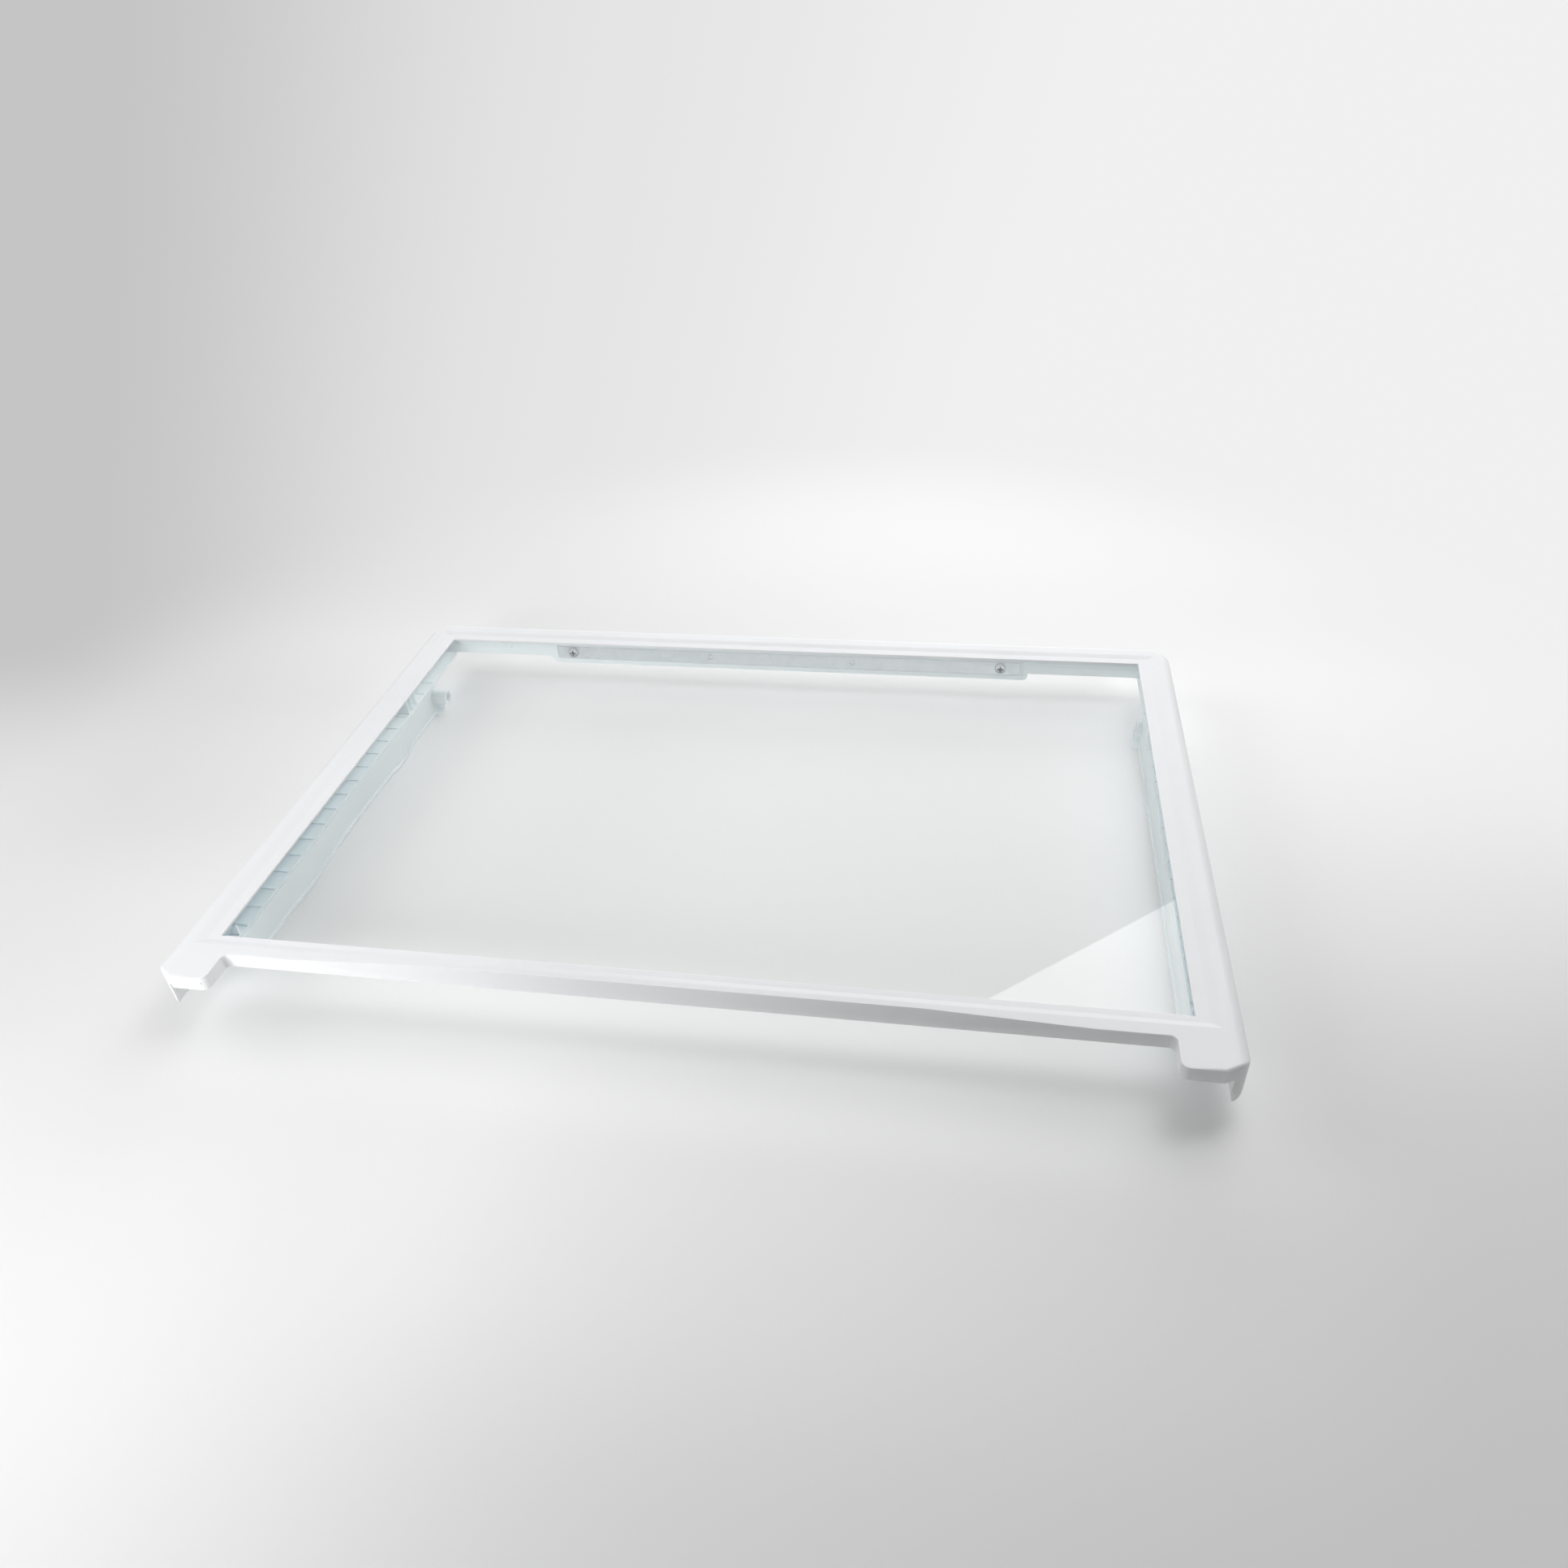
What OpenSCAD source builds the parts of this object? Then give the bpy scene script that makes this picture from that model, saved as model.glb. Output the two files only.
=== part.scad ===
// Refrigerator shelf: a moulded border frame round a clear pane, a steel strip screwed to the
// inner rear wall and a translucent drawer rail under each side.
// Origin: centre of the footprint, at the height of the rails' lowest point.
// X runs across the shelf to the right, Y runs to the rear and Z is up. Millimetres.

/* [Overall size] */
// Width over the side skirts
shelf_w = 654; // [600:1:700]
// Depth from the fronts of the ears to the rear wall
shelf_d = 452; // [420:1:500]
// Height from the lowest point of the rails to the crest of the border
shelf_h = 48; // [47:0.5:54]

/* [Border] */
// Width of the side and rear borders, from the opening to the outer wall
border_w = 27; // [26:0.5:32]
// Width of the front border, from the opening to the foot of the front face
front_w = 17; // [16:0.5:22]
// Corner radius of the opening
opening_r = 3.5; // [2:0.5:6]
// Thickness of the lip over the pane
lip_t = 2; // [1.6:0.1:2.4]
// Step of the outer border above the lip
crest_rise = 1; // [0.6:0.1:1.4]
// Thickness of the outer walls
wall_t = 3; // [2.4:0.1:3.4]
// Radius of the round-over along the upper outer edge
crest_r = 8; // [6:0.5:9]
// Radius of the lower outer edge of the skirts
skirt_r = 5; // [4:0.5:6]
// Plan radius of the rear outer corners
rear_r = 18; // [14:1:20]
// Depth of the skirts below the top of the lip
skirt_drop = 28.3; // [27:0.1:30]
// Depth of the front face below the top of the lip
front_drop = 9.1; // [8.6:0.1:11]

/* [Front ears] */
// Reach of each ear past the front face
ear_reach = 22; // [18:0.5:26]
// Width of each ear, from its inner side to the outer wall
ear_w = 38.6; // [34:0.2:44]
// Plan radius of the ear's inner front corner
ear_r = 5.5; // [3:0.5:8]
// Plan radius of the fillet between the ear and the front face
ear_fillet_r = 3.5; // [2:0.5:5]
// Plan radius of the ear's outer front corner
ear_outer_r = 16; // [12:1:18]
// How far the middle of the front face leans back at its top
scoop_lean = 4.5; // [2:0.5:5]
// Half width of the leaning part at full lean
scoop_half = 150; // [100:5:170]
// Length over which the lean dies out on each side
scoop_fade = 100; // [60:5:110]

/* [Side channels] */
// Depth of the channel floor below the top of the lip
floor_drop = 18.7; // [17:0.1:19.5]
// Thickness of the channel floor
floor_t = 2; // [1.6:0.1:2.4]
// Setback of the floor's inner edge from the opening
floor_setback = 2; // [1:0.5:4]
// Width of the runner along the lower edge of each skirt
runner_w = 9.5; // [8:0.5:10.5]
// Pitch of the low ribs on the channel floor
rib_pitch = 18.2; // [16:0.1:20]
// Number of low ribs on the channel floor
rib_count = 17; // [12:1:17]
// Height of the low ribs
rib_h = 1; // [0.6:0.1:1.5]

/* [Pane] */
// Thickness of the pane
pane_t = 4; // [3:0.5:4]
// How far the pane runs under the lip at the sides
pane_hold_side = 11; // [9:0.5:12]
// How far the pane runs under the lip at the front
pane_hold_front = 8; // [6:0.5:9]
// How far the pane runs under the lip at the rear
pane_hold_rear = 6; // [5:0.5:7]

/* [Stiffener strip] */
// Length of the strip
strip_l = 408.5; // [360:0.5:440]
// Height of the strip
strip_h = 12; // [10:0.5:13]
// Thickness of the strip
strip_t = 1.3; // [1:0.1:1.6]
// Distance of each screw from its end of the strip
screw_inset = 15.25; // [10:0.25:25]
// Distance between the two open holes
hole_span = 126; // [80:1:160]
// Diameter of the holes in the strip
hole_d = 5; // [4.6:0.1:5.4]
// Diameter of a screw head
head_d = 9.3; // [8:0.1:10]

/* [Drawer rails] */
// Length of each rail
rail_l = 320; // [300:1:326]
// Thickness of the rail web
web_t = 2.3; // [1.8:0.1:3]
// Outer diameter of the bosses at the rear of the rails
boss_d = 12.4; // [11:0.1:13]
// Diameter of the bores in the bosses
boss_bore_d = 8.8; // [7:0.1:9]
// Length of the left boss from the web
boss_left_l = 13.2; // [8:0.1:16]
// Length of the right boss from the web
boss_right_l = 4.1; // [3:0.1:8]

/* [Hidden] */
$fn = 64;
eps = 0.01;
past = 5;

half_w = shelf_w / 2;
rear_y = shelf_d / 2;
ear_y = -shelf_d / 2;
front_y = ear_y + ear_reach;
deck_z = shelf_h - crest_rise;

open_x = half_w - border_w;
open_rear = rear_y - border_w;
open_front = front_y + front_w;

// Clearances
pane_gap = 0.3;
strip_gap = 0.2;
shank_gap = 0.05;
tongue_gap = 0.05;

// Ramp between the lip and the raised border, measured outwards from the opening
ramp_side = [8, 14];
ramp_rear = [7, 12];
ramp_front = [4.5, 8.5];

// Seat of the pane
pane_top = -lip_t;
pane_low = pane_top - pane_t;
pane_x = open_x + pane_hold_side;
pane_front = open_front - pane_hold_front;
pane_rear = open_rear + pane_hold_rear;
pane_corner_r = 2;
ledge_t = 2;
ledge_inset = 6;
seat_wall = 2.5;

// Ear
ear_x = half_w - ear_w;
ear_wall = 2.5;
facet_start = 15;
facet_angle = 60;

// Small upright gate marks: one on the left ear's front, one on the right ear's facet
mark_w = 1;
mark_h = 2.2;
mark_depth = 0.5;
mark_left_x = ear_x + 3;
mark_left_z = -3.5;
mark_right_run = 9.2;
mark_right_z = -20.4;

// Channel details
low_rib_w = 1.6;
low_rib_in = 0.6;
low_rib_out = 11.5;
tall_rib_w = 1.2;
tall_rib_y = rear_y - 120;
tall_rib_step = 7.6;
first_rib_y = rear_y - 77;
stop_y = open_front + 26.7;
stop_w = 2.4;
stop_h = 1.6;
gusset_y = open_front + 18;
gusset_t = 2;
gusset_reach = 8.8;
gusset_h = 7.7;
gusset_tip_r = 1;
gusset_slope_drop = 0.4;
floor_low = -floor_drop - floor_t;
runner_draft = 2;

// Rear inner wall and its tab
inner_setback = 4;
inner_y = open_rear + inner_setback;
inner_t = 2.5;
inner_ledge_t = 3;
tab_cx = 1;
tab_side = 6.75;
tab_proud = 0.8;
tab_drop = 24.6;
tab_back = 3.6;
tab_corner_r = 4.5;
tab_w = strip_l + 2 * tab_side;

// Strip, screws and their holes
strip_cx = 0.75;
screw_span = strip_l - 2 * screw_inset;
strip_top = -7.8;
hole_z = -13.3;
strip_corner_r = 1.5;
pocket_spare = 3.3;
pocket_depth = strip_t + 0.1;
tab_hole_d = 9;
tab_face = inner_y - tab_proud;
strip_back = tab_face + pocket_depth;
strip_face = strip_back - strip_t;
tab_rear = inner_y + tab_back;
shank_r = 2;
shank_l = 12;
shank_spare = 4;
head_h = 2.6;
head_edge_r = 1.6;
screw_boss_r = 4;
screw_boss_l = 10.4;
recess_w = 1.1;
recess_l = 5.2;
recess_depth = 1.7;
recess_core_low_r = 0.8;
recess_core_top_r = 1.3;

// Rails
rail_low = deck_z;
rail_face = open_x + 1.7;
rail_rear = rear_y - 76;
rail_front = rail_rear - rail_l;
rail_plate_t = 2;
rail_rim_h = 2.5;
rail_rim_w = 1.6;
tongue_in = 1.5;
web_hollow = 0.45;
web_hollow_top = floor_low - 3.9;
web_hollow_low = -rail_low + 4.5;
boss_y = rail_rear - 6.5;
boss_z = -29.3;
hook_reach = 5.7;
hook_front = rail_rear - 16;
hook_rear = rail_rear - 3;
hook_t = 1.7;
hook_rib_t = 1.5;

// Lower edge of a rail: distances from its rear end, and heights above its lowest point
edge_h = 3;
rear_chamfer = 3;
foot_from = 59;
foot_flat_from = 79;
foot_flat_to = 90;
foot_to = 102;
foot_exit_h = 2.5;
arch_from = 144;
arch_to = 174;
arch_h = 4;
arch_front_h = 4.4;
bump_from = 220;
bump_flat_from = 232;
bump_flat_to = 258;
bump_to = 262;
bump_h = 1.7;

// Shared shapes

module block(low, high) {
    translate(low)
        cube(high - low);
}

module both_sides() {
    children();
    mirror([1, 0, 0])
        children();
}

// A profile drawn in X and Z, run along Y between two places
module run_y(from_y, to_y) {
    translate([0, to_y, 0])
        rotate([90, 0, 0])
            linear_extrude(height = to_y - from_y)
                children();
}

// A profile drawn in Y and Z, run along X between two places
module run_x(from_x, to_x) {
    translate([from_x, 0, 0])
        rotate([90, 0, 90])
            linear_extrude(height = to_x - from_x)
                children();
}

// Frame

// Filled outline of the border's edge: the outer wall is at zero and the border lies at negative X
module edge_outline(reach) {
    height = skirt_drop + crest_rise;
    intersection() {
        translate([-reach, -skirt_drop])
            square([reach, height]);
        union() {
            translate([-reach, -skirt_drop + skirt_r])
                square([reach, height - skirt_r - crest_r]);
            translate([-reach, crest_rise - crest_r])
                square([reach - crest_r, crest_r]);
            translate([-reach, -skirt_drop])
                square([reach - skirt_r, skirt_r]);
            translate([-crest_r, crest_rise - crest_r])
                circle(r = crest_r);
            translate([-skirt_r, -skirt_drop + skirt_r])
                circle(r = skirt_r);
        }
    }
}

// Space inside the outer wall, with its rounded upper corner
module edge_void(reach, low) {
    inner_r = crest_r - wall_t;
    translate([-reach - 1, low])
        square([reach + 1 - wall_t, -lip_t - inner_r - low]);
    translate([-reach - 1, -lip_t - inner_r - eps])
        square([reach + 1 - wall_t - inner_r, inner_r + eps]);
    translate([-wall_t - inner_r, -lip_t - inner_r])
        circle(r = inner_r);
}

// Top plate, outer wall and lower bead, shared by the rear and its corners
module rear_shell(reach) {
    difference() {
        edge_outline(reach);
        edge_void(reach, -skirt_drop + skirt_r);
        translate([-reach - 1, -skirt_drop - 1])
            square([reach + 1 - skirt_r, skirt_r + 1 + eps]);
    }
}

// Top plate, outer wall and the solid runner of a side
module side_shell(reach) {
    difference() {
        edge_outline(reach);
        edge_void(reach, -floor_drop);
        polygon([
            [-reach - 1, -floor_drop + eps],
            [-runner_w, -floor_drop + eps],
            [-runner_w, floor_low],
            [-runner_w + runner_draft, -skirt_drop - 1],
            [-reach - 1, -skirt_drop - 1]
        ]);
    }
}

module side_beam() {
    wall_x = pane_x + pane_gap;
    translate([half_w, 0, 0])
        run_y(ear_y, rear_y - rear_r)
            side_shell(border_w);
    // Channel floor
    block(
        [open_x + floor_setback, front_y, floor_low],
        [half_w - runner_w + 1, inner_y + eps, -floor_drop]
    );
    // Ledge under the pane and the wall beside it
    block(
        [open_x + ledge_inset, front_y, pane_low - ledge_t],
        [wall_x + seat_wall, inner_y + eps, pane_low]
    );
    block(
        [wall_x, front_y, pane_low - eps],
        [wall_x + seat_wall, inner_y + eps, pane_top + eps]
    );
    // Solid front end of the runner
    block(
        [half_w - runner_w, ear_y + 1, floor_low],
        [half_w - wall_t + eps, front_y, pane_top + eps]
    );
}

module rear_corner() {
    translate([half_w - rear_r, rear_y - rear_r, 0])
        rotate_extrude(angle = 90)
            intersection() {
                translate([rear_r, 0])
                    rear_shell(rear_r + 1);
                translate([0, -skirt_drop])
                    square([rear_r, skirt_drop + crest_rise]);
            }
}

module rear_beam() {
    straight = half_w - rear_r;
    inner_x = half_w - wall_t + eps;
    seat_y = pane_rear + pane_gap;
    translate([0, rear_y, 0])
        run_x(-straight, straight)
            rear_shell(border_w);
    // Inner wall, its ledge for the pane and the wall behind the pane
    block([-inner_x, inner_y, -floor_drop], [inner_x, inner_y + inner_t, pane_low]);
    block(
        [-inner_x, inner_y, pane_low - inner_ledge_t],
        [inner_x, seat_y + seat_wall, pane_low]
    );
    block(
        [-inner_x, seat_y, pane_low - eps],
        [inner_x, seat_y + seat_wall, pane_top + eps]
    );
}

// Tab on the inner rear wall that carries the strip
module tab() {
    left = tab_cx - tab_w / 2;
    right = tab_cx + tab_w / 2;
    translate([0, tab_rear, 0])
        rotate([90, 0, 0])
            linear_extrude(height = tab_rear - tab_face)
                union() {
                    translate([left, -tab_drop + tab_corner_r])
                        square([tab_w, tab_drop - tab_corner_r + pane_low]);
                    translate([left + tab_corner_r, -tab_drop])
                        square([tab_w - 2 * tab_corner_r, tab_corner_r + eps]);
                    for (x = [left + tab_corner_r, right - tab_corner_r])
                        translate([x, -tab_drop + tab_corner_r])
                            circle(r = tab_corner_r);
                }
    for (side = [-1, 1])
        translate([side * screw_span / 2, tab_rear - eps, hole_z])
            rotate([-90, 0, 0])
                cylinder(r = screw_boss_r, h = screw_boss_l);
}

module strip_pocket() {
    left = strip_cx - strip_l / 2 - strip_gap;
    right = strip_cx + strip_l / 2 + pocket_spare;
    block(
        [left, tab_face - past, strip_top - strip_h - strip_gap],
        [right, strip_back, strip_top + strip_gap]
    );
}

module tab_holes() {
    for (side = [-1, 1]) {
        translate([side * screw_span / 2, tab_face - past, hole_z])
            rotate([-90, 0, 0])
                cylinder(r = shank_r + shank_gap, h = past + shank_l + shank_spare);
        translate([side * hole_span / 2, tab_face - past, hole_z])
            rotate([-90, 0, 0])
                cylinder(d = tab_hole_d, h = past + tab_rear - tab_face + 1);
    }
}

module front_beam() {
    beam_x = half_w - wall_t + eps;
    deck_x = half_w - crest_r;
    block([-deck_x, front_y, pane_top - eps], [deck_x, open_front, crest_rise]);
    block([-beam_x, front_y, -front_drop], [beam_x, pane_front - pane_gap, pane_top]);
    block(
        [-beam_x, pane_front - pane_gap - eps, pane_low - ledge_t],
        [beam_x, open_front - ledge_inset, pane_low]
    );
}

// Top edge of the front face leans back in the middle and fades to upright near the ears
module front_scoop() {
    rise = front_drop + crest_rise;
    lean = atan(scoop_lean / rise);
    turn = atan(scoop_lean * cos(lean) / scoop_fade);
    size = 3 * scoop_fade + scoop_half;
    foot = [scoop_half, front_y, -front_drop];
    run_x(-scoop_half, scoop_half)
        polygon([
            [front_y - eps, -front_drop - eps],
            [front_y + scoop_lean * (1 + eps), crest_rise + eps * rise],
            [front_y - past, crest_rise + eps * rise],
            [front_y - past, -front_drop - eps]
        ]);
    both_sides()
        intersection() {
            translate(foot)
                rotate([-lean, 0, 0])
                    rotate([0, 0, -turn])
                        translate([-size / 2, -past, -past])
                            cube([size * 2, past, 2 * past + 2 * rise]);
            block(
                [scoop_half - eps, front_y - past, -front_drop - eps],
                [scoop_half + scoop_fade + past, front_y + past, crest_rise + 1]
            );
        }
}

module ear() {
    difference() {
        union() {
            block([ear_x, ear_y, -front_drop], [half_w - crest_r, front_y + eps, crest_rise]);
            block([ear_x, ear_y, -front_drop], [half_w - wall_t + eps, front_y + eps, pane_top + eps]);
            // Fillet to the front face
            block(
                [ear_x - ear_fillet_r, front_y - ear_fillet_r, -front_drop],
                [ear_x + eps, front_y + eps, crest_rise]
            );
        }
        translate([ear_x - ear_fillet_r, front_y - ear_fillet_r, -front_drop - 1])
            cylinder(r = ear_fillet_r, h = front_drop + crest_rise + 2);
        // Rounded inner front corner
        translate([ear_x, ear_y, -front_drop - 1])
            difference() {
                translate([-1, -1, 0])
                    cube([ear_r + 1, ear_r + 1, front_drop + crest_rise + 2]);
                translate([ear_r, ear_r, -1])
                    cylinder(r = ear_r, h = front_drop + crest_rise + 4);
            }
        ear_hollow();
    }
}

// Hollow under the ear. Its outer front corner runs one wall behind the facet
module ear_hollow() {
    low = -front_drop - 1;
    start_x = half_w - facet_start;
    slope = 1 / tan(facet_angle);
    out_x = half_w - runner_w;
    wall_y = ear_y + ear_wall;
    facet_y = ear_y + ear_wall / sin(facet_angle);
    turn_x = start_x - (facet_y - wall_y) / slope;
    translate([0, 0, low])
        linear_extrude(height = pane_top - low)
            polygon([
                [ear_x + ear_wall, wall_y],
                [turn_x, wall_y],
                [out_x, facet_y + (out_x - start_x) * slope],
                [out_x, front_y - eps],
                [ear_x + ear_wall, front_y - eps]
            ]);
}

// Outer front corner: a slanted facet that runs into the side by a wide arc
module ear_corner_cut() {
    arc_x = half_w - ear_outer_r;
    touch_x = arc_x + ear_outer_r * cos(facet_angle);
    start_x = half_w - facet_start;
    touch_y = ear_y + (touch_x - start_x) / tan(facet_angle);
    arc_y = touch_y + ear_outer_r * sin(facet_angle);
    translate([0, 0, -skirt_drop - 1])
        linear_extrude(height = skirt_drop + crest_rise + 2)
            difference() {
                translate([start_x, ear_y - past])
                    square([facet_start + past, arc_y - ear_y + past]);
                translate([arc_x, arc_y])
                    circle(r = ear_outer_r);
                polygon([
                    [start_x - 1, ear_y],
                    [start_x, ear_y],
                    [touch_x, touch_y],
                    [arc_x, arc_y + 1],
                    [start_x - 1, arc_y + 1]
                ]);
            }
}

// Short upright slot, with its front at the origin and its depth along Y
module gate_mark() {
    translate([-mark_w / 2, -mark_depth, -mark_h / 2])
        cube([mark_w, 2 * mark_depth, mark_h]);
}

module gate_marks() {
    // The left ear's inner corner is round, so the front lies a little behind its foremost line there
    round_back = ear_r - sqrt(ear_r * ear_r - pow(ear_r - (mark_left_x - ear_x), 2));
    translate([-mark_left_x, ear_y + round_back, mark_left_z])
        gate_mark();
    translate([half_w - facet_start, ear_y, mark_right_z])
        rotate([0, 0, 90 - facet_angle])
            translate([mark_right_run, 0, 0])
                gate_mark();
}

// Lowers the lip under the raised border, with a ramp on all four sides
module lip_recess() {
    top = 2 * crest_rise;
    side = open_x + ramp_side[0];
    side_top = side + 2 * (ramp_side[1] - ramp_side[0]);
    rear = open_rear + ramp_rear[0];
    rear_top = rear + 2 * (ramp_rear[1] - ramp_rear[0]);
    front = open_front - ramp_front[0];
    front_top = front - 2 * (ramp_front[1] - ramp_front[0]);
    intersection() {
        run_y(ear_y, rear_y)
            polygon([[-side, 0], [side, 0], [side_top, top], [-side_top, top]]);
        run_x(-half_w, half_w)
            polygon([[front, 0], [rear, 0], [rear_top, top], [front_top, top]]);
    }
}

module opening_cut() {
    translate([0, 0, -skirt_drop])
        linear_extrude(height = skirt_drop + crest_rise + 1)
            union() {
                translate([-open_x + opening_r, open_front])
                    square([2 * (open_x - opening_r), open_rear - open_front]);
                translate([-open_x, open_front + opening_r])
                    square([2 * open_x, open_rear - open_front - 2 * opening_r]);
                for (x = [-open_x + opening_r, open_x - opening_r])
                    for (y = [open_front + opening_r, open_rear - opening_r])
                        translate([x, y])
                            circle(r = opening_r);
            }
}

module pane_seat_cut() {
    block(
        [-pane_x - pane_gap, pane_front - pane_gap, pane_low],
        [pane_x + pane_gap, pane_rear + pane_gap, pane_top]
    );
}

// Ribs, stop and gusset on a channel floor
module channel_details() {
    rib_in = open_x + floor_setback + low_rib_in;
    rib_top = -floor_drop + rib_h;
    for (i = [0 : rib_count - 1])
        block(
            [rib_in, first_rib_y - i * rib_pitch - low_rib_w / 2, -floor_drop - eps],
            [rib_in + low_rib_out, first_rib_y - i * rib_pitch + low_rib_w / 2, rib_top]
        );
    for (i = [-1 : 1])
        block(
            [open_x + floor_setback, tall_rib_y + i * tall_rib_step - tall_rib_w / 2, -floor_drop - eps],
            [half_w - wall_t + eps, tall_rib_y + i * tall_rib_step + tall_rib_w / 2, pane_low - tongue_gap]
        );
    block(
        [open_x + floor_setback, stop_y - stop_w / 2, -floor_drop - eps],
        [rib_in + low_rib_out, stop_y + stop_w / 2, -floor_drop + stop_h]
    );
    translate([open_x + floor_setback + 1, 0, -floor_drop])
        run_y(gusset_y - gusset_t / 2, gusset_y + gusset_t / 2)
            union() {
                polygon([
                    [0, -eps],
                    [gusset_reach, -eps],
                    [2 * gusset_tip_r, gusset_h - gusset_slope_drop],
                    [0, gusset_h - gusset_tip_r]
                ]);
                translate([gusset_tip_r, gusset_h - gusset_tip_r])
                    circle(r = gusset_tip_r);
            }
}

// Groove in the inner side of the runner for the rail's tongue
module tongue_groove() {
    groove_x = half_w - runner_w;
    block(
        [groove_x - 1, rail_front - 1, floor_low - rail_plate_t - tongue_gap],
        [groove_x + tongue_in + tongue_gap, rail_rear + 1, floor_low]
    );
}

module frame() {
    color([0.93, 0.93, 0.92])
        translate([0, 0, deck_z])
            difference() {
                union() {
                    both_sides() {
                        side_beam();
                        rear_corner();
                        ear();
                        channel_details();
                    }
                    rear_beam();
                    front_beam();
                    tab();
                }
                lip_recess();
                opening_cut();
                pane_seat_cut();
                front_scoop();
                both_sides() {
                    ear_corner_cut();
                    tongue_groove();
                }
                strip_pocket();
                tab_holes();
                gate_marks();
            }
}

// Pane

module glass_pane() {
    color([0.78, 0.9, 0.86, 0.4])
        translate([0, 0, deck_z + pane_low])
            linear_extrude(height = pane_t)
                union() {
                    translate([-pane_x + pane_corner_r, pane_front])
                        square([2 * (pane_x - pane_corner_r), pane_rear - pane_front]);
                    translate([-pane_x, pane_front + pane_corner_r])
                        square([2 * pane_x, pane_rear - pane_front - 2 * pane_corner_r]);
                    for (x = [-pane_x + pane_corner_r, pane_x - pane_corner_r])
                        for (y = [pane_front + pane_corner_r, pane_rear - pane_corner_r])
                            translate([x, y])
                                circle(r = pane_corner_r);
                }
}

// Strip and screws

module stiffener_strip() {
    low = strip_top - strip_h;
    left = strip_cx - strip_l / 2;
    color([0.7, 0.71, 0.72])
        translate([0, strip_back, deck_z])
            rotate([90, 0, 0])
                linear_extrude(height = strip_t)
                    difference() {
                        union() {
                            translate([left + strip_corner_r, low])
                                square([strip_l - 2 * strip_corner_r, strip_h]);
                            translate([left, low + strip_corner_r])
                                square([strip_l, strip_h - 2 * strip_corner_r]);
                            for (x = [left + strip_corner_r, left + strip_l - strip_corner_r])
                                for (z = [low + strip_corner_r, strip_top - strip_corner_r])
                                    translate([x, z])
                                        circle(r = strip_corner_r);
                        }
                        for (x = [-screw_span / 2, -hole_span / 2, hole_span / 2, screw_span / 2])
                            translate([x, hole_z])
                                circle(d = hole_d);
                    }
}

// Pan head screw: the axis runs along Y and the head faces the front
module screw(x) {
    head_r = head_d / 2;
    color([0.62, 0.63, 0.65])
        translate([x, strip_face, deck_z + hole_z])
            rotate([90, 0, 0])
                difference() {
                    union() {
                        rotate_extrude()
                            union() {
                                square([head_r - head_edge_r, head_h]);
                                square([head_r, head_h - head_edge_r]);
                                intersection() {
                                    translate([head_r - head_edge_r, head_h - head_edge_r])
                                        circle(r = head_edge_r);
                                    square([head_r, head_h]);
                                }
                            }
                        translate([0, 0, -shank_l])
                            cylinder(r = shank_r, h = shank_l + eps);
                    }
                    for (turn = [0, 90])
                        rotate([0, 0, turn])
                            translate([-recess_l / 2, -recess_w / 2, head_h - recess_depth])
                                cube([recess_l, recess_w, recess_depth + 1]);
                    translate([0, 0, head_h - recess_depth])
                        cylinder(r1 = recess_core_low_r, r2 = recess_core_top_r, h = recess_depth + eps);
                }
}

module screw_left() {
    screw(-screw_span / 2);
}

module screw_right() {
    screw(screw_span / 2);
}

// Rails

// Side view of a rail, with Y along X: a low hump at the rear and a shallow one at the front
module rail_outline() {
    translate([rail_rear, -rail_low])
        polygon([
            [0, rail_low + floor_low - eps],
            [0, edge_h + rear_chamfer],
            [-rear_chamfer, edge_h],
            [-foot_from, edge_h],
            [-foot_flat_from, 0],
            [-foot_flat_to, 0],
            [-foot_to, foot_exit_h],
            [-arch_from, arch_h],
            [-arch_to, arch_front_h],
            [-bump_from, edge_h],
            [-bump_flat_from, bump_h],
            [-bump_flat_to, bump_h],
            [-bump_to, edge_h],
            [-rail_l, edge_h],
            [-rail_l, rail_low + floor_low - eps]
        ]);
}

// End view of the web: its inner face is slightly hollow
module web_section() {
    span = web_hollow_top - web_hollow_low;
    hollow_r = (span * span / 4 + web_hollow * web_hollow) / (2 * web_hollow);
    difference() {
        translate([rail_face, -rail_low - 1])
            square([web_t, rail_low + 1 + floor_low]);
        translate([rail_face + web_hollow - hollow_r, (web_hollow_top + web_hollow_low) / 2])
            circle(r = hollow_r, $fn = 360);
    }
}

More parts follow.
